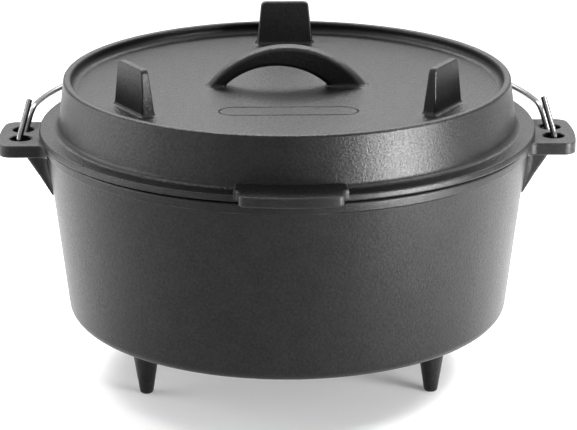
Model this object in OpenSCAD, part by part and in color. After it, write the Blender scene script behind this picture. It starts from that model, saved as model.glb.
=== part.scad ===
// Camp dutch oven: a flat-bottomed iron pot on three feet, a deep flanged lid
// that can stand on its own three legs, and a loose wire bail hooked into two ears.
// Millimetres. The origin is on the ground under the pot's axis, +Z is up,
// the lid's tab is at the front (-Y) and the ears are at the left and right (-X, +X).

/* [Pot] */
// Outer radius of the wall just under the rim band
pot_top_radius = 155.2; // [140:0.1:175]
// How much narrower the wall is at the bottom, on the radius
pot_taper = 12.6; // [4:0.1:30]
// Height from the underside of the pot to the rim
pot_depth = 119; // [90:1:160]
// Thickness of the wall
pot_wall = 5; // [4:0.1:7]
// Thickness of the floor
pot_floor = 6; // [4:0.1:9]
// Radius of the outer bottom edge
pot_edge_radius = 8; // [4:0.5:14]
// Radius of the inner bottom edge
pot_inner_edge_radius = 9; // [4:0.5:16]
// How far the rim band stands out from the wall
band_proud = 1.4; // [0.6:0.1:2.5]
// Height of the rim band
band_height = 7.2; // [4:0.1:12]
// Rounding of the rim's two edges
rim_edge = 1; // [0.5:0.1:1.5]

/* [Feet] */
// Height of the feet
foot_height = 42; // [25:1:60]
// Distance of the feet's middles from the wall's bottom end
foot_inset = 36.6; // [26:0.1:60]
// Diameter of a foot at the pot's underside
foot_top_d = 20; // [14:0.5:26]
// Diameter of a foot at the ground, before its edge is rounded
foot_end_d = 9; // [7:0.1:13]
// Rounding of the edge at the ground
foot_end_edge = 2.4; // [1:0.1:3]
// Radius of the flare into the pot's underside
foot_flare = 4; // [2:0.5:6]

/* [Lid] */
// How far the flange stands out past the pot's rim band
flange_overhang = 3.4; // [1:0.1:8]
// Thickness of the flange
flange_thickness = 5.2; // [4:0.1:8]
// Rounding of the flange's edge
flange_edge = 1.4; // [0.5:0.1:1.9]
// Width of the flange from its edge to the lid's wall
flange_width = 12.6; // [11:0.1:16]
// How much the lid's wall leans in from the flange to the lip's top
lid_lean_in = 4; // [2:0.1:10]
// Height of the lip's top over the flange's top
lip_height = 32.4; // [20:0.1:45]
// Thickness of the lip and of the lid's wall
lip_thickness = 5; // [4:0.1:7]
// Depth of the tray from the lip's top to the plate
tray_depth = 8; // [6:0.5:14]
// Thickness of the plate
plate_thickness = 5.4; // [4:0.1:8]
// Radius of the hollow edges inside the tray and under the plate
lid_fillet = 4; // [2:0.5:5]
// Depth of the ring that centres the lid in the pot
ring_depth = 4; // [2:0.5:8]
// Radial play of that ring in the pot's mouth
ring_play = 1; // [0.5:0.1:2]

/* [Lid legs] */
// Height of the legs over the plate
leg_height = 29; // [15:0.5:40]
// Distance of a leg's outer face from the tray's edge, at the plate
leg_inset = 24.3; // [18:0.1:36]
// Width of a leg at the plate
leg_base_w = 38; // [25:0.5:50]
// Width of a leg at its top
leg_top_w = 32; // [18:0.5:40]
// Thickness of a leg at the plate
leg_base_t = 9; // [6:0.1:12]
// Thickness of a leg at its top
leg_top_t = 4.8; // [2.4:0.1:6]
// Lean of the outer face over its height
leg_lean = 1.5; // [0:0.1:2]
// Rounding of the top corners
leg_corner = 3; // [1:0.1:6]

/* [Lid handle] */
// Length of the handle along the plate
handle_length = 102.5; // [80:0.5:120]
// Height of the handle over the plate
handle_rise = 26.4; // [22:0.1:34]
// Length of the finger gap along the plate
grip_length = 67.2; // [50:0.1:76]
// Height of the finger gap
grip_rise = 13.8; // [10:0.1:18]
// How far the finger gap lies off the handle's middle
grip_shift = -7; // [-8:0.1:8]
// Depth of the handle from front to back
handle_depth = 12; // [8:0.5:20]

/* [Lid tab] */
// Width of the tab
tab_width = 62; // [40:0.5:90]
// How far the tab stands out past the flange
tab_reach = 13; // [8:0.1:20]
// Height of the tab's top over the flange's top
tab_rise = 3.4; // [2:0.1:5]
// Thickness of the tab
tab_thickness = 6.6; // [5.2:0.1:8]
// Radius of the tab's bowed front edge
tab_bow = 130; // [90:1:170]
// Rounding of the tab's two front corners
tab_corner = 4; // [2:0.1:8]

/* [Panel] */
// Length of the bare panel outlined on the plate
panel_length = 88; // [40:1:110]
// Width of the panel
panel_width = 20; // [12:0.5:28]
// Distance of the panel's middle in front of the axis
panel_offset = 60.5; // [40:0.5:80]
// Width of the groove round the panel
panel_groove = 1.4; // [0.8:0.1:2.5]
// Depth of the groove
panel_depth = 0.9; // [0.4:0.1:1.6]

/* [Ears] */
// How far the ears stand out past the rim band
ear_reach = 29.6; // [26:0.1:40]
// Width of an ear
ear_width = 57; // [50:0.1:72]
// Thickness of an ear
ear_thickness = 8.2; // [6:0.1:8.6]
// Depth of an ear's top under the pot's rim
ear_drop = 1.8; // [1.2:0.1:10]
// Radius of an ear's bowed end
ear_bow = 150; // [90:1:200]
// Rounding of an ear's two corners
ear_corner = 8; // [3:0.5:14]
// How far the gusset under an ear stands out past the rim band
gusset_reach = 12.9; // [8:0.1:16]
// Depth of the gusset under the ear
gusset_depth = 27.5; // [15:0.5:45]
// Width of the gusset
gusset_width = 38; // [20:0.5:44]

/* [Ear holes] */
// Distance of the holes' centres past the rim band
hole_reach = 14.9; // [13:0.1:17]
// Distance between the two holes' centres
hole_spacing = 20.4; // [19.4:0.1:22]
// How much wider a hole is than the wire
hole_play = 9.2; // [9:0.1:10]
// Rounding of the holes' two edges
hole_edge = 1.5; // [1.2:0.1:2]

/* [Bail] */
// Diameter of the wire
wire_d = 4; // [3:0.1:4.2]
// How much narrower the hook is than the spacing of the holes
hook_inset = 4.8; // [4.4:0.1:5.2]
// How far the hook sits outside the holes' centres
hook_outset = 0.5; // [0.2:0.1:0.9]
// Backward tilt of the hook's legs when the bail lies back
hook_tilt = 40; // [36:0.5:41]
// Inward lean of the hook's legs
hook_lean = 12; // [8:0.5:13]
// Length of the free end over the hook's turn
free_length = 25.5; // [16:0.5:30]
// Height of the resting arch over the ears' tops
arch_rise = 10.4; // [9:0.1:18]
// Radius of the bend between a hook and the arch
shoulder_radius = 18; // [8:0.5:22]
// Inward turn of the arch's ends, as an angle
arm_turn = 1.9; // [0:0.1:4]
// Rounding of the wire's free ends
wire_end_edge = 0.8; // [0.3:0.1:1.2]

/* [Hidden] */
$fn = 96;
arc_steps = 8;
// How far a ball at a joint of the wire stands out from it
joint_swell = 0.05;

// Directions from the axis, as angles from +X
front_left_angle = 210;
front_right_angle = 330;
rear_angle = 90;

// Levels from the ground up
underside_z = foot_height;
floor_z = underside_z + pot_floor;
rim_z = underside_z + pot_depth;
band_z = rim_z - band_height;
flange_top_z = rim_z + flange_thickness;
lip_z = flange_top_z + lip_height;
plate_z = lip_z - tray_depth;
plate_under_z = plate_z - plate_thickness;
ear_top_z = rim_z - ear_drop;
ear_under_z = ear_top_z - ear_thickness;
tab_top_z = flange_top_z + tab_rise;

// Radii of the pot, the lid and the circle of the feet
pot_bottom_radius = pot_top_radius - pot_taper;
foot_circle = pot_bottom_radius - foot_inset;
band_radius = pot_top_radius + band_proud;
flange_radius = band_radius + flange_overhang;
lid_wall_radius = flange_radius - flange_width;
lip_radius = lid_wall_radius - lid_lean_in;

// Slopes of the pot's wall and of the lid's wall
pot_draft = atan(pot_taper / (band_z - underside_z));
lid_draft = atan(lid_lean_in / lip_height);

// Level thickness of the two walls, and their radii at a given height
pot_wall_across = pot_wall / cos(pot_draft);
lip_across = lip_thickness / cos(lid_draft);
function pot_outer_r(z) = pot_bottom_radius + (z - underside_z) * tan(pot_draft);
function pot_inner_r(z) = pot_outer_r(z) - pot_wall_across;
function lid_outer_r(z) = lid_wall_radius - (z - flange_top_z) * tan(lid_draft);
function lid_inner_r(z) = lid_outer_r(z) - lip_across;
ring_radius = pot_inner_r(rim_z) - ring_play;

// Points along an arc
function arc(centre, r, from, to) = [
  for (i = [0:arc_steps])
    let (a = from + (to - from) * i / arc_steps)
    centre + r * [cos(a), sin(a)]
];

// Centre of a rounded edge between a level and a wall that leans by draft
function edge_centre(wall_r, z, r, draft) =
  [wall_r - r * (1 - sin(draft)) / cos(draft), z + r];

// Outline of the pot's outside from the axis to the rim
pot_outline = concat(
  [[0, underside_z]],
  arc(edge_centre(pot_bottom_radius, underside_z, pot_edge_radius, pot_draft),
      pot_edge_radius, -90, -pot_draft),
  [[pot_top_radius, band_z], [band_radius, band_z + band_proud / 2]],
  arc([band_radius - rim_edge, rim_z - rim_edge], rim_edge, 0, 90)
);

// Outline of the pot's inside from the rim to the axis
pot_hollow = concat(
  arc([pot_inner_r(rim_z) + rim_edge, rim_z - rim_edge], rim_edge, 90, 180),
  arc(edge_centre(pot_inner_r(floor_z), floor_z, pot_inner_edge_radius, pot_draft),
      pot_inner_edge_radius, -pot_draft, -90),
  [[0, floor_z]]
);

// Outline of the lid's upper side from the axis to the flange's underside
tray_r = lid_inner_r(plate_z);
leg_circle = tray_r - leg_inset;
lip_round = lip_across / 2;
flange_foot_r = lid_wall_radius + lid_fillet;
lid_outline = concat(
  [[0, plate_z]],
  arc([tray_r - lid_fillet, plate_z + lid_fillet], lid_fillet, -90, 0),
  arc([lip_radius - lip_round, lip_z - lip_round], lip_round, 180, 0),
  arc([flange_foot_r, flange_top_z + lid_fillet], lid_fillet, 180, 270),
  arc([flange_radius - flange_edge, flange_top_z - flange_edge], flange_edge, 90, 0),
  arc([flange_radius - flange_edge, rim_z + flange_edge], flange_edge, 0, -90)
);

// Outline of the lid's underside from the flange to the axis
under_r = lid_inner_r(plate_under_z);
lid_hollow = concat(
  [[ring_radius, rim_z], [ring_radius, rim_z - ring_depth]],
  [[lid_inner_r(rim_z) - ring_play, rim_z - ring_depth]],
  arc([under_r - lid_fillet, plate_under_z - lid_fillet], lid_fillet, 0, 90),
  [[0, plate_under_z]]
);

module revolve(points) {
  rotate_extrude() polygon(points);
}

// The pot without its hollow, for cutting what is cast against it
module pot_form() {
  revolve(concat(pot_outline, [[0, rim_z]]));
}

// The lid without its hollow, for cutting what is cast against it
module lid_form() {
  revolve(concat(lid_outline, [[0, rim_z]]));
}

module pot() {
  color("dimgray") revolve(concat(pot_outline, pot_hollow));
}

// One foot: a taper with a rounded end and a flare under the pot
module foot(direction) {
  end_r = foot_end_d / 2;
  top_r = foot_top_d / 2;
  outline = concat(
    [[0, 0]],
    arc([end_r - foot_end_edge, foot_end_edge], foot_end_edge, -90, 0),
    arc([top_r + foot_flare, underside_z - foot_flare], foot_flare, 180, 90),
    [[0, underside_z]]
  );
  rotate(direction) translate([foot_circle, 0]) revolve(outline);
}

module front_left_foot() {
  color("dimgray") foot(front_left_angle);
}

module front_right_foot() {
  color("dimgray") foot(front_right_angle);
}

module rear_foot() {
  color("dimgray") foot(rear_angle);
}

// Sizes of the ears from the axis, and of the holes
ear_tip = band_radius + ear_reach;
gusset_tip = band_radius + gusset_reach;
hole_r = band_radius + hole_reach;
hole_d = wire_d + hole_play;

// Plan of an ear from the axis outwards
module ear_plan() {
  half = ear_width / 2;
  bow_x = ear_tip - ear_bow;
  corner_x = bow_x + sqrt(pow(ear_bow - ear_corner, 2) - pow(half - ear_corner, 2));
  intersection() {
    translate([bow_x, 0]) circle(ear_bow);
    union() {
      translate([0, -half]) square([corner_x, ear_width]);
      translate([0, ear_corner - half]) square([ear_tip, ear_width - 2 * ear_corner]);
      for (side = [-1, 1])
        translate([corner_x, side * (half - ear_corner)]) circle(ear_corner);
    }
  }
}

// Side view of an ear's gusset, from the axis outwards
module gusset_side() {
  foot_z = ear_under_z - gusset_depth;
  polygon([
    [0, ear_under_z],
    [gusset_tip, ear_under_z],
    [pot_outer_r(foot_z), foot_z],
    [0, foot_z]
  ]);
}

// What is cut from an ear for one hole, with the plate's two edges rounded
module ear_hole() {
  low = ear_under_z - gusset_depth;
  r = hole_d / 2;
  revolve(concat(
    [[0, low], [r + hole_edge, low]],
    arc([r + hole_edge, ear_under_z + hole_edge], hole_edge, 270, 180),
    arc([r + hole_edge, ear_top_z - hole_edge], hole_edge, 180, 90),
    [[r + hole_edge, ear_top_z + hole_edge], [0, ear_top_z + hole_edge]]
  ));
}

module ear() {
  difference() {
    union() {
      translate([0, 0, ear_under_z]) linear_extrude(ear_thickness) ear_plan();
      rotate([90, 0, 0]) linear_extrude(gusset_width, center = true) gusset_side();
    }
    pot_form();
    for (side = [-1, 1])
      translate([hole_r, side * hole_spacing / 2]) ear_hole();
  }
}

module right_ear() {
  color("dimgray") ear();
}

module left_ear() {
  color("dimgray") mirror([1, 0, 0]) ear();
}

// A flat closed groove with round ends, seen from above
module panel_outline(grow) {
  half = panel_width / 2;
  run = panel_length / 2 - half;
  square([2 * run, panel_width + 2 * grow], center = true);
  for (side = [-1, 1])
    translate([side * run, 0]) circle(half + grow);
}

module lid() {
  color("dimgray") difference() {
    revolve(concat(lid_outline, lid_hollow));
    translate([0, -panel_offset, plate_z - panel_depth])
      linear_extrude(tray_depth) difference() {
        panel_outline(0);
        panel_outline(-panel_groove);
      }
  }
}

// One lid leg: a blade that is thinner and narrower at its top
module lid_leg(direction) {
  outer_r = leg_circle;
  top_r = leg_circle - leg_lean;
  top_z = plate_z + leg_height;
  base = leg_base_w / 2;
  top = leg_top_w / 2;
  blade = [
    [outer_r - leg_base_t, plate_z],
    [outer_r, plate_z],
    [top_r, top_z],
    [top_r - leg_top_t, top_z]
  ];
  face = concat(
    [[-base, plate_z], [base, plate_z]],
    arc([top - leg_corner, top_z - leg_corner], leg_corner, 0, 90),
    arc([leg_corner - top, top_z - leg_corner], leg_corner, 90, 180)
  );
  rotate(direction) intersection() {
    rotate([90, 0, 0]) linear_extrude(2 * leg_base_w, center = true) polygon(blade);
    rotate([90, 0, 90]) linear_extrude(2 * leg_circle) polygon(face);
  }
}

module front_left_lid_leg() {
  color("dimgray") lid_leg(front_left_angle);
}

module front_right_lid_leg() {
  color("dimgray") lid_leg(front_right_angle);
}

module rear_lid_leg() {
  color("dimgray") lid_leg(rear_angle);
}

// Radius of the arc over a chord of a given length and rise
function bow_radius(length, rise) = (pow(length / 2, 2) + rise * rise) / (2 * rise);

module lid_handle() {
  outer = bow_radius(handle_length, handle_rise);
  inner = bow_radius(grip_length, grip_rise);
  color("dimgray") translate([0, 0, plate_z]) rotate([90, 0, 0])
    linear_extrude(handle_depth, center = true) difference() {
      translate([0, handle_rise - outer]) circle(outer);
      translate([grip_shift, grip_rise - inner]) circle(inner);
      translate([-handle_length, -2 * outer]) square([2 * handle_length, 2 * outer]);
    }
}

// Plan of the front tab: a band across the flange with a bowed, rounded front
module tab_plan() {
  front = flange_radius + tab_reach;
  half = tab_width / 2;
  side_y = tab_bow - front - sqrt(pow(tab_bow - tab_corner, 2) - pow(half - tab_corner, 2));
  intersection() {
    translate([0, tab_bow - front]) circle(tab_bow);
    union() {
      translate([-half, side_y]) square([tab_width, -side_y]);
      translate([tab_corner - half, -front]) square([tab_width - 2 * tab_corner, front]);
      for (side = [-1, 1])
        translate([side * (half - tab_corner), side_y]) circle(tab_corner);
    }
  }
}

module lid_front_tab() {
  color("dimgray") difference() {
    translate([0, 0, tab_top_z - tab_thickness]) linear_extrude(tab_thickness) tab_plan();
    lid_form();
  }
}

// The right hook lies in a plane through its centre, spanned by its legs and the way across
hook_centre = [hole_r + hook_outset, 0, ear_top_z - ear_thickness / 2];
leg_way = [-sin(hook_lean), cos(hook_lean) * sin(hook_tilt), cos(hook_lean) * cos(hook_tilt)];
across = [0, cos(hook_tilt), -sin(hook_tilt)];
hook_r = (hole_spacing - hook_inset) / 2;
arch_z = ear_top_z + arch_rise;
leg_run = (arch_z - hook_centre.z - hook_r * across.z) / leg_way.z;
shoulder = hook_centre + hook_r * across + leg_run * leg_way;

// The arch leaves each shoulder level and turned in a little towards the axis
arch_from = atan2(shoulder.y, shoulder.x) + arm_turn;
arm_way = [-sin(arch_from), cos(arch_from), 0];
bend_angle = acos(leg_way * arm_way);
bend_run = shoulder_radius * tan(bend_angle / 2);
arm_start = shoulder + bend_run * arm_way;
arch_r = arm_start.x / cos(arch_from);
arch_centre_y = arm_start.y - arch_r * sin(arch_from);

// Places a shape drawn in the plane of x and y at a point, with x and y along two given ways
module in_plane(point, x, y) {
  z = cross(x, y);
  multmatrix([
    [x.x, y.x, z.x, point.x],
    [x.y, y.y, z.y, point.y],
    [x.z, y.z, z.z, point.z],
    [0, 0, 0, 1]
  ]) children();
}

// A stretch of wire along an arc that starts on the x side of its centre
module wire_arc(radius, angle) {
  rotate_extrude(angle = angle) translate([radius, 0]) circle(d = wire_d);
}

// A straight stretch of wire from a point along a way, with its far edge rounded
module wire_run(point, way, length, edge = 0) {
  side = cross(way, [1, 0, 0]) / norm(cross(way, [1, 0, 0]));
  r = wire_d / 2;
  rounded = edge > 0 ? arc([r - edge, length - edge], edge, 0, 90) : [[r, length]];
  in_plane(point, side, cross(way, side))
    revolve(concat([[0, 0], [r, 0]], rounded, [[0, length]]));
}

// A joint between two stretches of wire
module wire_joint(point) {
  translate(point) sphere(d = wire_d + 2 * joint_swell);
}

module hook() {
  front = hook_centre - hook_r * across;
  back = hook_centre + hook_r * across;
  bend_side = (arm_way - cos(bend_angle) * leg_way) / sin(bend_angle);
  bend_start = shoulder - bend_run * leg_way;
  wire_run(front, leg_way, free_length, wire_end_edge);
  in_plane(hook_centre, across, -leg_way) wire_arc(hook_r, 180);
  wire_run(back, leg_way, leg_run - bend_run);
  in_plane(bend_start + shoulder_radius * bend_side, -bend_side, leg_way)
    wire_arc(shoulder_radius, bend_angle);
  for (point = [front, back, bend_start, arm_start]) wire_joint(point);
}

module bail() {
  color("silver") union() {
    hook();
    mirror([1, 0, 0]) hook();
    translate([0, arch_centre_y, arch_z]) rotate(arch_from)
      wire_arc(arch_r, 180 - 2 * arch_from);
  }
}

pot();
left_ear();
right_ear();
front_left_foot();
front_right_foot();
rear_foot();
lid();
lid_handle();
lid_front_tab();
front_left_lid_leg();
front_right_lid_leg();
rear_lid_leg();
bail();
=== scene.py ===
"""Looks of a camp dutch oven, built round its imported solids.

Shapes are worked out in millimetres in the solids' frame and turned into metres when a piece
is made. +Z is up, the lid's tab is at the front (-Y) and the ears are at the sides (-X, +X).
The floor, the lamps and the camera are placed in metres.
"""

import math

import bmesh
import bpy
from mathutils import Matrix, Vector
from mathutils.geometry import delaunay_2d_cdt


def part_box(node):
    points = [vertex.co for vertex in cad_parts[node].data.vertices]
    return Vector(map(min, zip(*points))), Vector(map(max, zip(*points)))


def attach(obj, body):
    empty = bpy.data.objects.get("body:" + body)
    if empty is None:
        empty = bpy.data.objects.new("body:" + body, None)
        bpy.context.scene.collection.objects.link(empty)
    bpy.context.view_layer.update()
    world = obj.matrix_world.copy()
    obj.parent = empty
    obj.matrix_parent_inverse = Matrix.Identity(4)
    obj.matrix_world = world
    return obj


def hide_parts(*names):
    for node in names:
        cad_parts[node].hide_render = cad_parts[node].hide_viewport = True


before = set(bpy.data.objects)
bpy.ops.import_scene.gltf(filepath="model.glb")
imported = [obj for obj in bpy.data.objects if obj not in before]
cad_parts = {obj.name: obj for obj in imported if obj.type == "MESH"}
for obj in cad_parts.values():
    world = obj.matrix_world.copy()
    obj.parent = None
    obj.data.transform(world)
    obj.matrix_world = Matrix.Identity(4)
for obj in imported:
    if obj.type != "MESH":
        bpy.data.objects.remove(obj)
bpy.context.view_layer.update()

MM = 0.001

# Fineness of the meshes
TURN_SEGMENTS = 192
SMALL_SEGMENTS = 48
ARC_STEP = math.radians(11)
EDGE_STEPS = 4
CORNER_STEPS = 5
SHARP_ANGLE = math.radians(42)
WIRE_SIDES = 20

# Lengths below this count as none
TINY = 1e-6

# What a triangulation keeps: only what lies inside its outline
KEEP_INSIDE = 1

# How deep a piece is sunk into the casting that it grows from
SINK = 1.0

# Pot
POT_WALL = 5
POT_FLOOR = 6
POT_TAPER = 12.6
POT_EDGE = 8
POT_INNER_EDGE = 9
BAND_HEIGHT = 7.2
BAND_PROUD = 1.4
BAND_EDGE = 0.6
RIM_EDGE = 1
RIM_OUTER_EDGE = 2.4

# Feet
FOOT_TOP_R = 10
FOOT_END_R = 4.5
FOOT_END_EDGE = 2.4
FOOT_FLARE = 4

# Lid
FLANGE_THICKNESS = 5.2
FLANGE_WIDTH = 12.6
FLANGE_EDGE = 1.0
FLANGE_DRAFT = 0.7
FLANGE_LOWER_EDGE = 0.9
SEAM_GAP = 1.2
SEAM_DEPTH = 3.4
LID_LEAN_IN = 4
LIP_THICKNESS = 5
LIP_EDGE = 1.8
PLATE_THICKNESS = 5.4
LID_FILLET = 4
RING_PLAY = 1
RING_EDGE = 0.8

# Bare panel on the plate
PANEL_LENGTH = 88
PANEL_WIDTH = 20
PANEL_OFFSET = 60.5
GROOVE_WIDTH = 1.8
GROOVE_DEPTH = 0.9
GROOVE_STEPS = 6

# Lid legs
LEG_BASE_T = 9
LEG_TOP_T = 4.8
LEG_TOP_W = 32
LEG_LEAN = 1.5
LEG_CORNER = 3
LEG_EDGE = 0.9
LEG_SIDE_EDGE = 1.1
LEG_FILLET = 2.2
LEG_FILLET_STEPS = 6
LEG_WALL_STEPS = 4
LEG_CORNER_STEPS = 8

# The most that a leg's rounded sides take of half its thickness
LEG_ROUND_SHARE = 0.98

# Lid handle
GRIP_LENGTH = 67.2
GRIP_RISE = 13.8
GRIP_SHIFT = -7
HANDLE_EDGE = 3
HANDLE_STOUT_EDGE = 5.6
HANDLE_FILLET = 2.5
HANDLE_STEPS = 56

# Lid tab
TAB_BOW = 130
TAB_BOW_STEPS = 16
TAB_CORNER = 4
TAB_ROOT_FILLET = 4
TAB_EDGE = 1.2

# Ears
EAR_THICKNESS = 8.2
EAR_BOW = 150
EAR_BOW_STEPS = 12
EAR_CORNER = 8
EAR_ROOT_FILLET = 7
EAR_EDGE = 1.2
HOLE_EDGE = 1.5
GUSSET_REACH = 12.9
GUSSET_DEPTH = 27.5
GUSSET_WIDTH = 38
GUSSET_EDGE = 3
GUSSET_FILLET = 5
GUSSET_STEPS = 12
GUSSET_CORNER_STEPS = 6
GUSSET_ROOT_STEPS = 8

# Where the gusset runs out into the wall: how far it still stands out, the shares of that which
# its fillet and its edge take, and how deep its skirt lies in the wall
GUSSET_LEAST_ROOM = 0.2
GUSSET_FILLET_SHARE = 0.55
GUSSET_EDGE_SHARE = 0.4
SKIRT_SINK = 0.1

# Ear holes and bail
HOLE_REACH = 14.9
HOLE_SPACING = 20.4
HOLE_R = 6.6
WIRE_R = 2
HOOK_INSET = 4.8
HOOK_OUTSET = 0.5
HOOK_TILT = math.radians(40)
HOOK_LEAN = math.radians(12)
FREE_LENGTH = 25.5
ARCH_RISE = 10.4
SHOULDER_R = 18
ARM_TURN = math.radians(1.9)
WIRE_END_EDGE = 0.8
FREE_STEPS = 6
HOOK_STEPS = 16
HOOK_LEG_STEPS = 4
SHOULDER_STEPS = 8
ARCH_STEPS = 40


def span(node):
    """The lowest and highest corner of a solid, in millimetres."""
    low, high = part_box(node)
    return low / MM, high / MM


pot_low, pot_high = span("pot")
lid_low, lid_high = span("lid")
_, ear_high = span("right_ear")
leg_low, leg_high = span("rear_lid_leg")
handle_low, handle_high = span("lid_handle")
tab_low, tab_high = span("lid_front_tab")

# Levels
underside_z = pot_low.z
rim_z = pot_high.z
floor_z = underside_z + POT_FLOOR
band_z = rim_z - BAND_HEIGHT
flange_z = rim_z + FLANGE_THICKNESS
lip_z = lid_high.z
plate_z = leg_low.z
plate_under_z = plate_z - PLATE_THICKNESS
ear_top_z = ear_high.z
ear_under_z = ear_top_z - EAR_THICKNESS
gusset_z = ear_under_z - GUSSET_DEPTH

# Radii
band_r = pot_high.x
wall_top_r = band_r - BAND_PROUD
pot_slope = POT_TAPER / (band_z - underside_z)
flange_r = lid_high.x
lid_wall_r = flange_r - FLANGE_WIDTH
lip_r = lid_wall_r - LID_LEAN_IN
lid_slope = LID_LEAN_IN / (lip_z - flange_z)
hole_r = band_r + HOLE_REACH

# Thickness of the leaning walls, measured level
pot_across = POT_WALL * math.hypot(1, pot_slope)
lid_across = LIP_THICKNESS * math.hypot(1, lid_slope)


def pot_r(z):
    """Outer radius of the pot's wall at a height."""
    return wall_top_r - (band_z - z) * pot_slope


def lid_r(z):
    """Outer radius of the lid's wall at a height."""
    return lid_wall_r - (z - flange_z) * lid_slope


# Outlines

def arc(centre, radius, start, end, steps=None):
    """Points of an arc in a plane, from one angle to another in degrees."""
    if steps is None:
        steps = max(2, math.ceil(math.radians(abs(end - start)) / ARC_STEP))
    angles = [math.radians(start + (end - start) * i / steps) for i in range(steps + 1)]
    return [Vector(centre) + radius * Vector((math.cos(a), math.sin(a))) for a in angles]


def round_corners(corners):
    """A line through corners (x, y, radius), with each inner corner turned into an arc."""
    points = [Vector(corners[0][:2])]
    for before, here, after in zip(corners, corners[1:], corners[2:]):
        corner, radius = Vector(here[:2]), here[2]
        back = (Vector(before[:2]) - corner).normalized()
        ahead = (Vector(after[:2]) - corner).normalized()
        if radius == 0:
            points.append(corner)
            continue
        half = back.angle(ahead) / 2
        centre = corner + (back + ahead).normalized() * (radius / math.sin(half))
        first = corner + back * (radius / math.tan(half)) - centre
        turn = math.pi - 2 * half
        if back.cross(ahead) > 0:
            turn = -turn
        steps = max(2, math.ceil(abs(turn) / ARC_STEP))
        for i in range(steps + 1):
            points.append(centre + Matrix.Rotation(turn * i / steps, 2) @ first)
    points.append(Vector(corners[-1][:2]))
    return points


def rounded_rect(half_x, half_y, radius):
    """A closed outline of a rectangle with round corners, and the way out at each point."""
    points, ways = [], []
    for quarter, (sx, sy) in enumerate(((1, 1), (-1, 1), (-1, -1), (1, -1))):
        centre = Vector((sx * (half_x - radius), sy * (half_y - radius)))
        for i in range(CORNER_STEPS + 1):
            a = math.pi / 2 * (quarter + i / CORNER_STEPS)
            way = Vector((math.cos(a), math.sin(a)))
            points.append(centre + radius * way)
            ways.append(way)
    return points, ways


def shrink(outline, inset):
    """A closed outline, counter-clockwise, moved inwards."""
    moved = []
    for before, here, after in zip(outline[-1:] + outline[:-1], outline, outline[1:] + outline[:1]):
        along = ((here - before).normalized() + (after - here).normalized()).normalized()
        moved.append(here + inset * Vector((-along.y, along.x)))
    return moved


def edge_levels(low, high, edge):
    """Heights and insets of a slab's side with its two edges rounded."""
    levels = []
    for i in range(EDGE_STEPS + 1):
        a = math.pi / 2 * i / EDGE_STEPS
        levels.append((low + edge * (1 - math.sin(a)), edge * (1 - math.cos(a))))
    levels.reverse()
    return levels + [(low + high - z, inset) for z, inset in reversed(levels)]


def inside(point, loop):
    """True if a point lies inside a closed outline."""
    odd = False
    for a, b in zip(loop, loop[1:] + loop[:1]):
        if (a.y > point.y) != (b.y > point.y):
            if point.x < a.x + (point.y - a.y) * (b.x - a.x) / (b.y - a.y):
                odd = not odd
    return odd


# Meshes

def bridge(bm, one, two):
    """Faces between two rings of points, either of which may be a single point."""
    count = max(len(one), len(two))
    for i in range(count):
        j = (i + 1) % count
        corners = [one[i % len(one)], one[j % len(one)], two[j % len(two)], two[i % len(two)]]
        bm.faces.new(list(dict.fromkeys(corners)))


def add_ring(bm, points):
    """New points of a mesh."""
    return [bm.verts.new(p) for p in points]


def lathe(bm, profile, segments, centre=(0, 0)):
    """Turns a profile of radii and heights about an upright line; returns its rings."""
    rings = []
    for r, z in profile:
        turns = segments if r > TINY else 1
        angles = [2 * math.pi * i / turns for i in range(turns)]
        rings.append(add_ring(bm, [
            (centre[0] + r * math.cos(a), centre[1] + r * math.sin(a), z) for a in angles
        ]))
    for one, two in zip(rings, rings[1:]):
        bridge(bm, one, two)
    return rings


def loft(bm, outlines):
    """A closed solid through rings of points."""
    rings = [add_ring(bm, outline) for outline in outlines]
    for one, two in zip(rings, rings[1:]):
        bridge(bm, one, two)
    bm.faces.new(rings[0])
    bm.faces.new(rings[-1])


def fill(bm, outer, holes):
    """Flat faces between a ring and the holes in it, each a list of the mesh's points."""
    loops = [outer, *holes]
    verts = [v for loop in loops for v in loop]
    edges, first = [], 0
    for loop in loops:
        count = len(loop)
        edges += [(first + i, first + (i + 1) % count) for i in range(count)]
        first += count
    flat = [v.co.xy for v in verts]
    points, _, faces, sources, _, _ = delaunay_2d_cdt(flat, edges, [], KEEP_INSIDE, TINY)
    hole_outlines = [[v.co.xy for v in hole] for hole in holes]
    for face in faces:
        middle = sum((points[i] for i in face), Vector((0, 0))) / len(face)
        if not any(inside(middle, hole) for hole in hole_outlines):
            bm.faces.new([verts[sources[i][0]] for i in face])


def slab(bm, outline, low, high, edge, holes=(), hole_edge=0):
    """A flat piece with rounded edges and round holes (x, y, radius)."""
    sides = [
        add_ring(bm, [(p.x, p.y, z) for p in shrink(outline, inset)])
        for z, inset in edge_levels(low, high, edge)
    ]
    for one, two in zip(sides, sides[1:]):
        bridge(bm, one, two)
    bores = []
    for x, y, r in holes:
        profile = [(r + inset, z) for z, inset in edge_levels(low, high, hole_edge)]
        bores.append(lathe(bm, profile, SMALL_SEGMENTS, (x, y)))
    for end in (0, -1):
        fill(bm, sides[end], [bore[end] for bore in bores])


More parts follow.
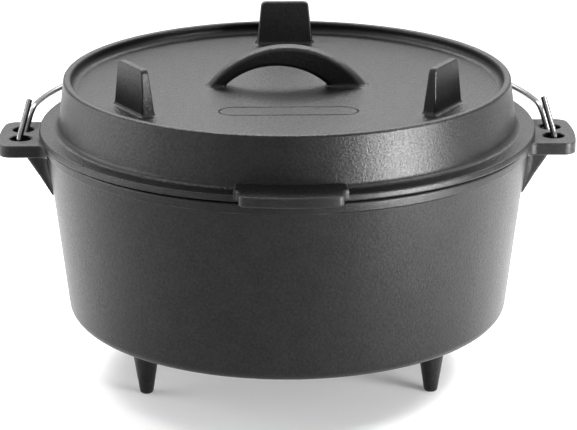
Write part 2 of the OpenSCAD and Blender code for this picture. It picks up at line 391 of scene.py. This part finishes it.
def tube(bm, path, radius, end_edge):
    """A round wire along a path, with its two ends rounded."""
    ways = [(after - before).normalized() for before, after in zip(path, path[1:])]
    ways = [ways[0]] + [(a + b).normalized() for a, b in zip(ways, ways[1:])] + [ways[-1]]
    side = ways[0].orthogonal().normalized()
    rings = []
    for i, (point, way) in enumerate(zip(path, ways)):
        side = (side - way * side.dot(way)).normalized()
        other = way.cross(side)
        turned = [
            math.cos(a) * side + math.sin(a) * other
            for a in (2 * math.pi * k / WIRE_SIDES for k in range(WIRE_SIDES))
        ]
        ring = [point + radius * t for t in turned]
        if 0 < i < len(path) - 1:
            rings.append(ring)
            continue
        outwards = way if i else -way
        cap = []
        for k in range(EDGE_STEPS + 1):
            a = math.pi / 2 * k / EDGE_STEPS
            r = radius - end_edge * (1 - math.cos(a))
            back = end_edge * (1 - math.sin(a))
            cap.append([point - back * outwards + r * t for t in turned])
        rings += cap if i else cap[::-1]
    loft(bm, rings)


def to_mesh(bm, name):
    """The mesh of what was drawn, in metres."""
    bmesh.ops.recalc_face_normals(bm, faces=bm.faces)
    for face in bm.faces:
        face.smooth = True
    for edge in bm.edges:
        edge.smooth = edge.calc_face_angle(0) < SHARP_ANGLE
    mesh = bpy.data.meshes.new(name)
    bm.to_mesh(mesh)
    bm.free()
    mesh.transform(Matrix.Scale(MM, 4))
    return mesh


def cut(bm, draw_cutter):
    """What is left of a drawn solid when another is cut from it, drawn anew."""
    body = bpy.data.objects.new("cut_body", to_mesh(bm, "cut_body"))
    cutter_bm = bmesh.new()
    draw_cutter(cutter_bm)
    cutter = bpy.data.objects.new("cutter", to_mesh(cutter_bm, "cutter"))
    for temporary in (body, cutter):
        bpy.context.scene.collection.objects.link(temporary)
    boolean = body.modifiers.new("cut", "BOOLEAN")
    boolean.operation = "DIFFERENCE"
    boolean.object = cutter
    boolean.solver = "EXACT"
    graph = bpy.context.evaluated_depsgraph_get()
    mesh = bpy.data.meshes.new_from_object(body.evaluated_get(graph))
    mesh.transform(Matrix.Scale(1 / MM, 4))
    for temporary in (body, cutter):
        bpy.data.objects.remove(temporary)
    left = bmesh.new()
    left.from_mesh(mesh)
    return left


def piece(name, bm, material, body, slot, *nodes):
    """Makes a drawn shape a piece of the object, in place of some solids."""
    mesh = to_mesh(bm, name)
    mesh.materials.append(material)
    obj = bpy.data.objects.new(name, mesh)
    bpy.context.scene.collection.objects.link(obj)
    obj.modifiers.new("even_normals", "WEIGHTED_NORMAL").keep_sharp = True
    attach(obj, body)
    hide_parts(*nodes)


# Materials

# Between these a noise has most of its values
NOISE_LOW = 0.3
NOISE_HIGH = 0.7

# How much bluer than grey a grey is
BLUE_CAST = 1.03

# Cast iron: colour and shine, each from low to high
SEASONED_GREYS = (0.002, 0.005)
# Greys of the convex edges and where they begin: partly worn bare iron, partly a painted highlight
# along the edges
EDGE_WEAR_AND_HIGHLIGHT_GREYS = (0.025, 0.045)
EDGE_WEAR_AND_HIGHLIGHT_POINTINESS = (0.52, 0.56)
IRON_ROUGHNESS = (0.32, 0.43)
IRON_SHEEN = (0.2, 0.3)
MOTTLE_SCALE = 55

# Cast iron: its uneven skin, with depths in metres, and coarser where a face looks up
GRAIN_SCALE = 900
GRAIN_STRENGTH = 0.45
GRAIN_DEPTH = 0.0003
PEBBLE_SCALE = 620
PEBBLE_DEPTH = 0.0006
SIDE_COARSENESS = 0.19
TOP_COARSENESS = 0.95
LOOKING_UP = (0.7, 0.95)
WAVE_SCALE = 26
WAVE_STRENGTH = 0.12
WAVE_DEPTH = 0.0012

# Wire
WIRE_GREYS = (0.16, 0.21)
WIRE_ROUGHNESS = (0.16, 0.26)
WIRE_HAZE_SCALE = 90
WIRE_GRAIN_SCALE = 700
WIRE_GRAIN_STRENGTH = 0.05
WIRE_GRAIN_DEPTH = 0.0002


def new_material(name):
    """A new material, its nodes and its shader."""
    material = bpy.data.materials.new(name)
    material.use_nodes = True
    tree = material.node_tree
    shader = tree.nodes["Principled BSDF"]
    return material, tree, shader


def noise(tree, coordinates, scale, detail, roughness=0.5):
    """A noise with about so many bumps to the metre."""
    node = tree.nodes.new("ShaderNodeTexNoise")
    node.inputs["Scale"].default_value = scale
    node.inputs["Detail"].default_value = detail
    node.inputs["Roughness"].default_value = roughness
    tree.links.new(coordinates, node.inputs["Vector"])
    return node.outputs["Fac"]


def map_range(tree, value, from_low, from_high, to_low, to_high):
    """A value carried over from one range to another."""
    node = tree.nodes.new("ShaderNodeMapRange")
    for name, number in (
        ("From Min", from_low), ("From Max", from_high), ("To Min", to_low), ("To Max", to_high)
    ):
        node.inputs[name].default_value = number
    tree.links.new(value, node.inputs["Value"])
    return node.outputs["Result"]


def over_noise(tree, value, low, high):
    """A number that runs from low to high with a noise."""
    return map_range(tree, value, NOISE_LOW, NOISE_HIGH, low, high)


def grey_ramp(tree, value, dark, light):
    """A grey that runs from dark to light with a noise."""
    node = tree.nodes.new("ShaderNodeValToRGB")
    stops = zip(node.color_ramp.elements, (NOISE_LOW, NOISE_HIGH), (dark, light))
    for element, place, grey in stops:
        element.position = place
        element.color = (grey, grey, grey * BLUE_CAST, 1)
    tree.links.new(value, node.inputs["Fac"])
    return node.outputs["Color"]


def mix_colour(tree, share, first, second):
    """The first colour with a share of the second."""
    node = tree.nodes.new("ShaderNodeMix")
    node.data_type = "RGBA"
    tree.links.new(share, node.inputs["Factor"])
    for socket, colour in zip((s for s in node.inputs if s.type == "RGBA"), (first, second)):
        tree.links.new(colour, socket)
    return next(s for s in node.outputs if s.type == "RGBA")


def bump(tree, height, strength, distance, normal=None):
    """The normal of an uneven skin, on top of another one if given."""
    node = tree.nodes.new("ShaderNodeBump")
    node.inputs["Strength"].default_value = strength
    node.inputs["Distance"].default_value = distance
    tree.links.new(height, node.inputs["Height"])
    if normal is not None:
        tree.links.new(normal, node.inputs["Normal"])
    return node.outputs["Normal"]


def make_cast_iron():
    """Seasoned cast iron: black, with convex edges lighter partly from wear and partly as a painted
    highlight, a fine sand grain and a satin sheen that varies.
    """
    material, tree, shader = new_material("cast_iron")
    place = tree.nodes.new("ShaderNodeTexCoord").outputs["Object"]
    grain = noise(tree, place, GRAIN_SCALE, detail=3, roughness=0.6)
    pebble = noise(tree, place, PEBBLE_SCALE, detail=2)
    mottle = noise(tree, place, MOTTLE_SCALE, detail=4, roughness=0.6)
    waves = noise(tree, place, WAVE_SCALE, detail=2)
    geometry = tree.nodes.new("ShaderNodeNewGeometry")
    # Convex edges turn to the lighter greys: partly wear, partly a painted highlight
    edge_wear_and_highlight = map_range(tree, geometry.outputs["Pointiness"], *EDGE_WEAR_AND_HIGHLIGHT_POINTINESS, 0, 1)
    facing = tree.nodes.new("ShaderNodeSeparateXYZ")
    tree.links.new(geometry.outputs["Normal"], facing.inputs["Vector"])
    coarseness = map_range(
        tree, facing.outputs["Z"], *LOOKING_UP, SIDE_COARSENESS, TOP_COARSENESS
    )
    seasoned = grey_ramp(tree, mottle, *SEASONED_GREYS)
    # The lighter edge grey: partly worn bare iron, partly a painted highlight
    bare = grey_ramp(tree, mottle, *EDGE_WEAR_AND_HIGHLIGHT_GREYS)
    tree.links.new(mix_colour(tree, edge_wear_and_highlight, seasoned, bare), shader.inputs["Base Color"])
    tree.links.new(over_noise(tree, grain, *IRON_ROUGHNESS), shader.inputs["Roughness"])
    normal = bump(tree, waves, WAVE_STRENGTH, WAVE_DEPTH)
    normal = bump(tree, pebble, SIDE_COARSENESS, PEBBLE_DEPTH, normal)
    tree.links.new(coarseness, normal.node.inputs["Strength"])
    normal = bump(tree, grain, GRAIN_STRENGTH, GRAIN_DEPTH, normal)
    tree.links.new(normal, shader.inputs["Normal"])
    sheen = over_noise(tree, pebble, *IRON_SHEEN)
    tree.links.new(sheen, shader.inputs["Specular IOR Level"])
    shader.inputs["Metallic"].default_value = 0.0
    return material


def make_wire():
    """Drawn steel wire with a faint grain."""
    material, tree, shader = new_material("wire")
    place = tree.nodes.new("ShaderNodeTexCoord").outputs["Object"]
    grain = noise(tree, place, WIRE_GRAIN_SCALE, detail=3)
    haze = noise(tree, place, WIRE_HAZE_SCALE, detail=2)
    tree.links.new(grey_ramp(tree, haze, *WIRE_GREYS), shader.inputs["Base Color"])
    tree.links.new(over_noise(tree, grain, *WIRE_ROUGHNESS), shader.inputs["Roughness"])
    normal = bump(tree, grain, WIRE_GRAIN_STRENGTH, WIRE_GRAIN_DEPTH)
    tree.links.new(normal, shader.inputs["Normal"])
    shader.inputs["Metallic"].default_value = 1.0
    return material


cast_iron = make_cast_iron()
wire = make_wire()


# Pot

def draw_pot(bm):
    lathe(bm, round_corners([
        (0, underside_z, 0),
        (pot_r(underside_z), underside_z, POT_EDGE),
        (wall_top_r, band_z, BAND_EDGE),
        (band_r, band_z + BAND_PROUD / 2, BAND_EDGE),
        (band_r, rim_z, RIM_OUTER_EDGE),
        (pot_r(rim_z) - pot_across, rim_z, RIM_EDGE),
        (pot_r(floor_z) - pot_across, floor_z, POT_INNER_EDGE),
        (0, floor_z, 0),
    ]), TURN_SEGMENTS)


def draw_foot(bm, node):
    low, high = span(node)
    middle = (low + high) / 2
    profile = [Vector((0, low.z))]
    profile += arc((FOOT_END_R - FOOT_END_EDGE, low.z + FOOT_END_EDGE), FOOT_END_EDGE, -90, 0)
    profile += arc((FOOT_TOP_R + FOOT_FLARE, high.z - FOOT_FLARE), FOOT_FLARE, 180, 90)
    profile += [Vector((FOOT_TOP_R + FOOT_FLARE, high.z + SINK)), Vector((0, high.z + SINK))]
    lathe(bm, profile, SMALL_SEGMENTS, middle.xy)


def ear_outline():
    """Plan of the right ear, with a bowed end and sides that flow into the rim band."""
    half, tip, fillet = ear_high.y, ear_high.x, EAR_ROOT_FILLET
    bow_x = tip - EAR_BOW
    corner_y = half - EAR_CORNER
    corner_x = bow_x + math.sqrt((EAR_BOW - EAR_CORNER) ** 2 - corner_y ** 2)
    lean = math.degrees(math.atan2(corner_y, corner_x - bow_x))
    fillet_y = half + fillet
    fillet_x = math.sqrt((band_r + fillet) ** 2 - fillet_y ** 2)
    touch = math.degrees(math.atan2(fillet_y, fillet_x))
    side = arc((fillet_x, fillet_y), fillet, touch - 180, -90)
    side += arc((corner_x, corner_y), EAR_CORNER, 90, lean)
    end = arc((bow_x, 0), EAR_BOW, lean, -lean, EAR_BOW_STEPS)[1:-1]
    other = [Vector((p.x, -p.y)) for p in reversed(side)]
    root = arc((0, 0), band_r - POT_WALL / 2, -touch, touch, EAR_BOW_STEPS)
    return (side + end + other + root)[::-1]


def gusset_ring(z):
    """Section of the right ear's gusset at a height."""
    half = GUSSET_WIDTH / 2
    lift = (z - gusset_z) / GUSSET_DEPTH
    front = pot_r(gusset_z) + lift * (band_r + GUSSET_REACH - pot_r(gusset_z))
    wall_r = pot_r(z)
    wall_x = math.sqrt(wall_r ** 2 - half ** 2)
    room = max(front - wall_x, GUSSET_LEAST_ROOM)
    fillet = min(GUSSET_FILLET, GUSSET_FILLET_SHARE * room)
    edge = min(GUSSET_EDGE, GUSSET_EDGE_SHARE * room)
    skirt_y = half + 2 * GUSSET_FILLET
    skirt_x = math.sqrt(wall_r ** 2 - skirt_y ** 2) - SKIRT_SINK
    skirt_turn = math.degrees(math.atan2(skirt_y, skirt_x))
    slope = math.degrees(math.atan2(skirt_y - half, wall_x - skirt_x))
    side = [Vector((skirt_x, -skirt_y))]
    hollow = (wall_x + fillet, -half - fillet)
    side += arc(hollow, fillet, slope + 90, 90, GUSSET_CORNER_STEPS)
    side += arc((wall_x + room - edge, edge - half), edge, -90, 0, GUSSET_CORNER_STEPS)
    other = [Vector((p.x, -p.y)) for p in reversed(side)]
    inner_r = wall_r - POT_WALL / 2
    inner = arc((0, 0), inner_r, skirt_turn, -skirt_turn, GUSSET_ROOT_STEPS)
    return [(p.x, p.y, z) for p in side + other + inner]


def draw_gusset(bm):
    tall = ear_under_z + SINK - gusset_z
    heights = [gusset_z + tall * i / GUSSET_STEPS for i in range(GUSSET_STEPS + 1)]
    loft(bm, [gusset_ring(z) for z in heights])


def draw_bores(bm):
    """What the ear's two holes take away from the gusset."""
    bore_r = HOLE_R + HOLE_EDGE
    profile = [(0, gusset_z), (bore_r, gusset_z), (bore_r, ear_top_z), (0, ear_top_z)]
    for side in (-1, 1):
        lathe(bm, profile, SMALL_SEGMENTS, (hole_r, side * HOLE_SPACING / 2))


def draw_ear(mirrored):
    """The right ear with its gusset and holes, or the left one as its mirror image."""
    bm = bmesh.new()
    draw_gusset(bm)
    bm = cut(bm, draw_bores)
    holes = [(hole_r, side * HOLE_SPACING / 2, HOLE_R) for side in (-1, 1)]
    slab(bm, ear_outline(), ear_under_z, ear_top_z, EAR_EDGE, holes, HOLE_EDGE)
    if mirrored:
        bmesh.ops.transform(bm, matrix=Matrix.Scale(-1, 4, (1, 0, 0)), verts=bm.verts)
    return bm


pot_bm = bmesh.new()
draw_pot(pot_bm)
piece("pot_casting", pot_bm, cast_iron, "pot", "cast_iron", "pot")
for foot_node in ("front_left_foot", "front_right_foot", "rear_foot"):
    foot_bm = bmesh.new()
    draw_foot(foot_bm, foot_node)
    piece(foot_node + "_casting", foot_bm, cast_iron, "pot", "cast_iron", foot_node)
for ear_node in ("left_ear", "right_ear"):
    ear_bm = draw_ear(ear_node == "left_ear")
    piece(ear_node + "_casting", ear_bm, cast_iron, "pot", "cast_iron", ear_node)


# Lid

def panel_loop(inset):
    """The bare panel's outline, moved inwards: a closed line with round ends."""
    radius = PANEL_WIDTH / 2 - inset
    run = (PANEL_LENGTH - PANEL_WIDTH) / 2
    loop = arc((run, -PANEL_OFFSET), radius, -90, 90)
    return loop + arc((-run, -PANEL_OFFSET), radius, 90, 270)


def draw_lid(bm):
    tray_r = lid_r(plate_z) - lid_across
    ring_outer_r = pot_r(rim_z) - pot_across - RING_PLAY
    ring_inner_r = lid_r(rim_z) - lid_across - RING_PLAY
    rings = lathe(bm, round_corners([
        (tray_r - 2 * LID_FILLET, plate_z, 0),
        (tray_r, plate_z, LID_FILLET),
        (lip_r - lid_across, lip_z, LIP_EDGE),
        (lip_r, lip_z, LIP_EDGE),
        (lid_wall_r, flange_z, LID_FILLET),
        (flange_r - FLANGE_DRAFT, flange_z, FLANGE_EDGE),
        (flange_r, rim_z + SEAM_GAP, FLANGE_LOWER_EDGE),
        (band_r - SEAM_DEPTH, rim_z + SEAM_GAP, 0),
        (band_r - SEAM_DEPTH, rim_z, 0),
        (ring_outer_r, rim_z, RING_EDGE),
        (ring_outer_r, lid_low.z, RING_EDGE),
        (ring_inner_r, lid_low.z, RING_EDGE),
        (lid_r(plate_under_z) - lid_across, plate_under_z, LID_FILLET),
        (0, plate_under_z, 0),
    ]), TURN_SEGMENTS)
    groove = []
    for i in range(-1, GROOVE_STEPS + 2):
        share = i / GROOVE_STEPS
        on_plate = i < 0 or i > GROOVE_STEPS
        depth = 0 if on_plate else GROOVE_DEPTH * (1 - math.cos(2 * math.pi * share)) / 2
        loop = panel_loop(share * GROOVE_WIDTH)
        groove.append(add_ring(bm, [(p.x, p.y, plate_z - depth) for p in loop]))
    for one, two in zip(groove, groove[1:]):
        bridge(bm, one, two)
    fill(bm, rings[0], [groove[0]])
    fill(bm, groove[-1], [])


def fillet_out(height, radius):
    """How far a hollow edge at the foot of a wall stands out from it at a height."""
    if height >= radius:
        return 0
    return radius - math.sqrt(radius ** 2 - (radius - max(height, 0)) ** 2)


def edge_in(below_top, radius):
    """How far a rounded edge is drawn in at a depth below the top."""
    if below_top >= radius:
        return 0
    return radius - math.sqrt(radius ** 2 - (radius - below_top) ** 2)


def draw_lid_leg(bm, node):
    low, high = span(node)
    middle = (low + high) / 2
    turn = math.atan2(middle.y, middle.x)
    tall = leg_high.z - leg_low.z
    heights = [
        LEG_FILLET * (1 - math.cos(math.pi / 2 * i / LEG_FILLET_STEPS))
        for i in range(LEG_FILLET_STEPS + 1)
    ]
    heights += [
        LEG_FILLET + (tall - LEG_CORNER - LEG_FILLET) * i / LEG_WALL_STEPS
        for i in range(1, LEG_WALL_STEPS)
    ]
    heights += [
        tall - LEG_CORNER * (1 - math.sin(math.pi / 2 * i / LEG_CORNER_STEPS))
        for i in range(LEG_CORNER_STEPS + 1)
    ]
    outlines = []
    for height in [-SINK] + heights:
        share = max(height, 0) / tall
        outer = leg_high.y - LEG_LEAN * share
        thick = LEG_BASE_T + (LEG_TOP_T - LEG_BASE_T) * share
        wide = leg_high.x + (LEG_TOP_W / 2 - leg_high.x) * share
        grow = fillet_out(height, LEG_FILLET)
        half_t = thick / 2 + grow - edge_in(tall - height, LEG_EDGE)
        half_w = wide + grow - edge_in(tall - height, LEG_CORNER)
        edge = min(LEG_SIDE_EDGE + grow, half_t * LEG_ROUND_SHARE)
        points, _ = rounded_rect(half_t, half_w, edge)
        outlines.append([
            Matrix.Rotation(turn, 3, "Z") @ Vector((outer - thick / 2 + p.x, p.y, plate_z + height))
            for p in points
        ])
    loft(bm, outlines)


def bow(length, rise):
    """Radius and half angle of the arc over a chord of a given length and rise."""
    radius = ((length / 2) ** 2 + rise ** 2) / (2 * rise)
    return radius, math.asin(length / 2 / radius)


def draw_lid_handle(bm):
    rise = handle_high.z - plate_z
    outer_r, outer_half = bow(handle_high.x - handle_low.x, rise)
    inner_r, inner_half = bow(GRIP_LENGTH, GRIP_RISE)
    half_depth = handle_high.y
    outlines = []
    for i in range(HANDLE_STEPS + 1):
        share = (1 - math.cos(math.pi * i / HANDLE_STEPS)) / 2
        side = 2 * share - 1
        a, b = outer_half * side, inner_half * side
        outer = Vector((outer_r * math.sin(a), 0, rise - outer_r * (1 - math.cos(a))))
        inner_x = GRIP_SHIFT + inner_r * math.sin(b)
        inner = Vector((inner_x, 0, GRIP_RISE - inner_r * (1 - math.cos(b))))
        up = (outer - inner).normalized()
        half = (outer - inner).length / 2
        stout = max(0, side) ** 2
        edge = HANDLE_EDGE + (HANDLE_STOUT_EDGE - HANDLE_EDGE) * stout
        points, ways = rounded_rect(half, half_depth, edge)
        outline = []
        for p, way in zip(points, ways):
            at = (outer + inner) / 2 + up * p.x + Vector((0, p.y, 0))
            out = up * way.x + Vector((0, way.y, 0))
            out.z = 0
            at += out.normalized() * fillet_out(at.z, HANDLE_FILLET)
            outline.append(at + Vector((0, 0, plate_z)))
        outlines.append(outline)
    sunk = Vector((0, 0, SINK))
    outlines.insert(0, [p - sunk for p in outlines[0]])
    outlines.append([p - sunk for p in outlines[-1]])
    loft(bm, outlines)


def tab_outline():
    """Plan of the front tab, with its sides flowing into the flange's edge."""
    half, front, fillet = tab_high.x, tab_low.y, TAB_ROOT_FILLET
    bow_y = front + TAB_BOW
    corner_x = half - TAB_CORNER
    corner_y = bow_y - math.sqrt((TAB_BOW - TAB_CORNER) ** 2 - corner_x ** 2)
    lean = math.degrees(math.atan2(corner_y - bow_y, corner_x))
    fillet_x = half + fillet
    fillet_y = -math.sqrt((flange_r + fillet) ** 2 - fillet_x ** 2)
    touch = math.degrees(math.atan2(fillet_y, fillet_x))
    right = [Vector((half + fillet / 2, tab_high.y))]
    right += arc((fillet_x, fillet_y), fillet, touch + 180, 180)
    right += arc((corner_x, corner_y), TAB_CORNER, 0, lean)
    left = [Vector((-p.x, p.y)) for p in reversed(right)]
    front_arc = arc((0, bow_y), TAB_BOW, lean, -180 - lean, TAB_BOW_STEPS)[1:-1]
    return (right + front_arc + left)[::-1]


def draw_lid_tab(bm):
    slab(bm, tab_outline(), tab_low.z, tab_high.z, TAB_EDGE)


lid_bm = bmesh.new()
draw_lid(lid_bm)
piece("lid_casting", lid_bm, cast_iron, "lid", "cast_iron", "lid")
for leg_node in ("front_left_lid_leg", "front_right_lid_leg", "rear_lid_leg"):
    leg_bm = bmesh.new()
    draw_lid_leg(leg_bm, leg_node)
    piece(leg_node + "_casting", leg_bm, cast_iron, "lid", "cast_iron", leg_node)
handle_bm = bmesh.new()
draw_lid_handle(handle_bm)
piece("lid_handle_casting", handle_bm, cast_iron, "lid", "cast_iron", "lid_handle")
tab_bm = bmesh.new()
draw_lid_tab(tab_bm)
piece("lid_front_tab_casting", tab_bm, cast_iron, "lid", "cast_iron", "lid_front_tab")


# Bail

def bail_path():
    """Middle line of the wire, from its right free end to its left one."""
    centre = Vector((hole_r + HOOK_OUTSET, 0, ear_top_z - EAR_THICKNESS / 2))
    leg = Vector((
        -math.sin(HOOK_LEAN),
        math.cos(HOOK_LEAN) * math.sin(HOOK_TILT),
        math.cos(HOOK_LEAN) * math.cos(HOOK_TILT),
    ))
    across = Vector((0, math.cos(HOOK_TILT), -math.sin(HOOK_TILT)))
    hook_r = (HOLE_SPACING - HOOK_INSET) / 2
    front, back = centre - hook_r * across, centre + hook_r * across
    arch_z = ear_top_z + ARCH_RISE
    leg_run = (arch_z - back.z) / leg.z
    shoulder = back + leg_run * leg
    arch_from = math.atan2(shoulder.y, shoulder.x) + ARM_TURN
    arm = Vector((-math.sin(arch_from), math.cos(arch_from), 0))
    bend = leg.angle(arm)
    bend_run = SHOULDER_R * math.tan(bend / 2)
    bend_start = shoulder - bend_run * leg
    bend_side = (arm - math.cos(bend) * leg).normalized()
    arm_start = shoulder + bend_run * arm
    arch_r = arm_start.x / math.cos(arch_from)
    arch_y = arm_start.y - arch_r * math.sin(arch_from)

    right = [front + leg * FREE_LENGTH * (1 - i / FREE_STEPS) for i in range(FREE_STEPS)]
    for i in range(HOOK_STEPS + 1):
        a = math.pi * i / HOOK_STEPS
        right.append(centre - hook_r * (math.cos(a) * across + math.sin(a) * leg))
    straight = leg_run - bend_run
    right += [back + leg * straight * i / HOOK_LEG_STEPS for i in range(1, HOOK_LEG_STEPS)]
    for i in range(SHOULDER_STEPS + 1):
        a = bend * i / SHOULDER_STEPS
        right.append(bend_start + SHOULDER_R * (math.sin(a) * leg + (1 - math.cos(a)) * bend_side))
    for i in range(1, ARCH_STEPS + 1):
        a = arch_from + (math.pi / 2 - arch_from) * i / ARCH_STEPS
        right.append(Vector((arch_r * math.cos(a), arch_y + arch_r * math.sin(a), arch_z)))
    left = [Vector((-p.x, p.y, p.z)) for p in reversed(right[:-1])]
    return right + left


bail_bm = bmesh.new()
tube(bail_bm, bail_path(), WIRE_R, WIRE_END_EDGE)
piece("bail_wire", bail_bm, wire, "bail", "wire", "bail")


# Stage

# Floor, and how much it glows where it is seen
FLOOR_SIZE = 12
FLOOR_GREY = 0.9
FLOOR_ROUGHNESS = 0.9
FLOOR_GLOW = 0.15

# How much the surround lights the object
SURROUND = 0.2

# Spread of a lamp's light in degrees, without and with a grid before it
OPEN_SPREAD = 180
GRID_SPREAD = 60

# What the lamps aim at
LID_AIM = (0, 0, 0.2)
POT_AIM = (0, 0, 0.15)
RIGHT_FLOOR_AIM = (0.62, 0, 0)
LEFT_FLOOR_AIM = (-0.48, 0.25, 0)


def shown_rays(tree):
    """1 for rays from the camera and for those that mirror or pass on what it sees, else 0."""
    path = tree.nodes.new("ShaderNodeLightPath")
    shown = path.outputs["Is Camera Ray"]
    for kind in ("Is Glossy Ray", "Is Transmission Ray"):
        either = tree.nodes.new("ShaderNodeMath")
        either.operation = "MAXIMUM"
        tree.links.new(shown, either.inputs[0])
        tree.links.new(path.outputs[kind], either.inputs[1])
        shown = either.outputs["Value"]
    return shown


def make_floor():
    """A plain pale floor that keeps a light shadow."""
    bm = bmesh.new()
    bmesh.ops.create_grid(bm, x_segments=1, y_segments=1, size=FLOOR_SIZE / 2)
    mesh = bpy.data.meshes.new("floor")
    bm.to_mesh(mesh)
    bm.free()
    floor = bpy.data.objects.new("floor", mesh)
    bpy.context.scene.collection.objects.link(floor)
    material, tree, shader = new_material("floor")
    shader.inputs["Base Color"].default_value = (FLOOR_GREY, FLOOR_GREY, FLOOR_GREY, 1)
    shader.inputs["Roughness"].default_value = FLOOR_ROUGHNESS
    shader.inputs["Specular IOR Level"].default_value = 0.0
    shader.inputs["Emission Color"].default_value = (1, 1, 1, 1)
    glow = map_range(tree, shown_rays(tree), 0, 1, 0, FLOOR_GLOW)
    tree.links.new(glow, shader.inputs["Emission Strength"])
    mesh.materials.append(material)


def make_world():
    """A plain surround that looks white, straight and in a mirror, and lights the object softly."""
    world = bpy.data.worlds.new("studio")
    bpy.context.scene.world = world
    world.use_nodes = True
    tree = world.node_tree
    background = tree.nodes["Background"]
    background.inputs["Color"].default_value = (1, 1, 1, 1)
    strength = map_range(tree, shown_rays(tree), 0, 1, SURROUND, 1)
    tree.links.new(strength, background.inputs["Strength"])


def softbox(name, place, aim, width, height, brightness, spread=OPEN_SPREAD):
    """A rectangular lamp whose face has a given brightness (white paper in full light is 1).

    A grid before it narrows its spread and keeps its light for the middle.
    """
    light = bpy.data.lights.new(name, "AREA")
    light.shape = "RECTANGLE"
    light.size, light.size_y = width, height
    light.energy = brightness * math.pi * width * height
    light.spread = math.radians(spread)
    lamp = bpy.data.objects.new(name, light)
    lamp.location = place
    lamp.rotation_euler = (Vector(aim) - Vector(place)).to_track_quat("-Z", "Y").to_euler()
    lamp.visible_camera = False
    bpy.context.scene.collection.objects.link(lamp)


# The camera as fitted to the photograph's rims, edges and feet
IMAGE_WIDTH = 577
FOCAL_PIXELS = 2500
SENSOR = 36
CAMERA_PLACE = Vector((-0.0223, -1.5541, 0.6138))
CAMERA_PITCH = 0.3177
CAMERA_YAW = math.radians(-0.85)
CAMERA_ROLL = -0.0014


def make_camera():
    """The scene's camera, placed as the photograph's was."""
    data = bpy.data.cameras.new("camera")
    data.sensor_width = SENSOR
    data.lens = SENSOR * FOCAL_PIXELS / IMAGE_WIDTH
    camera = bpy.data.objects.new("camera", data)
    turn = (
        Matrix.Rotation(CAMERA_YAW, 4, "Z")
        @ Matrix.Rotation(math.pi / 2 - CAMERA_PITCH, 4, "X")
        @ Matrix.Rotation(CAMERA_ROLL, 4, "Z")
    )
    camera.matrix_world = Matrix.Translation(CAMERA_PLACE) @ turn
    bpy.context.scene.collection.objects.link(camera)
    bpy.context.scene.camera = camera


make_floor()
make_world()
softbox(
    "right_softbox", place=(0.63, -0.49, 0.13), aim=LID_AIM,
    width=0.4, height=0.25, brightness=6.4, spread=GRID_SPREAD,
)
softbox(
    "right_side_softbox", place=(0.93, -0.58, 0.35), aim=LID_AIM,
    width=0.45, height=0.6, brightness=3.8,
)
softbox(
    "right_floor_softbox", place=(0.95, 0, 0.9), aim=RIGHT_FLOOR_AIM,
    width=0.7, height=0.7, brightness=4.4, spread=GRID_SPREAD,
)
softbox(
    "left_softbox", place=(-1.3, 0, 0.39), aim=LID_AIM,
    width=1.2, height=0.8, brightness=4.5,
)
softbox(
    "left_front_softbox", place=(-1, -0.95, 0.2), aim=POT_AIM,
    width=0.6, height=0.5, brightness=2,
)
softbox(
    "left_floor_softbox", place=(-0.78, 0.25, 0.9), aim=LEFT_FLOOR_AIM,
    width=0.7, height=0.7, brightness=1.8, spread=GRID_SPREAD,
)
softbox(
    "top_softbox", place=(0, 0.97, 1.15), aim=POT_AIM,
    width=1.8, height=0.7, brightness=7.2,
)
softbox(
    "overhead_softbox", place=(0, 0.35, 1.5), aim=POT_AIM,
    width=1.6, height=0.9, brightness=1,
)
make_camera()
bpy.context.scene.view_settings.view_transform = "Standard"
